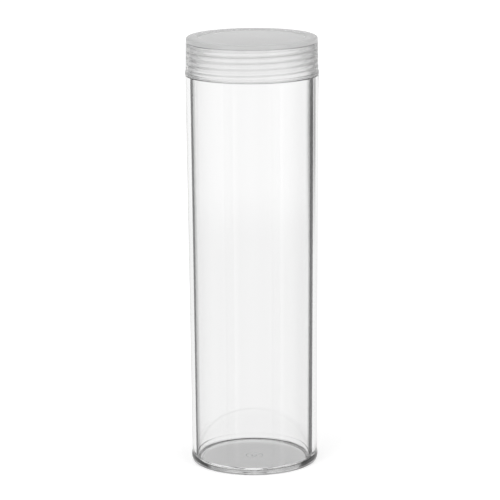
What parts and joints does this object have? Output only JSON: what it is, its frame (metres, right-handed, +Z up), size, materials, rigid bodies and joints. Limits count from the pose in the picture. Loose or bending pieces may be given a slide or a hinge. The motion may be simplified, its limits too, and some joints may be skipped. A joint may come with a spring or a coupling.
{
  "type": "coin tube",
  "caption": "Clear round tube with a foot bead and a milky screw cap, which holds a roll of coins stacked flat.",
  "frame": {"origin": "middle of the foot, on the surface that the tube stands on", "axes": "+Z up the tube's axis, from the foot to the cap; X and Y are free, because the part is round"},
  "size_m": [0.0252, 0.0252, 0.0824],
  "materials": {
    "clear_polystyrene": "clear, polished moulding",
    "milky_polyethylene": "natural, translucent, soft gloss"
  },
  "bodies": {
    "tube": {"tube": "clear_polystyrene"},
    "cap": {"screw_cap": "milky_polyethylene"}
  },
  "joints": [
    {"name": "cap_lift", "type": "slide", "parent": "tube", "child": "cap", "axis": [0, 0, 1], "range_m": [0, 0.015]}
  ]
}
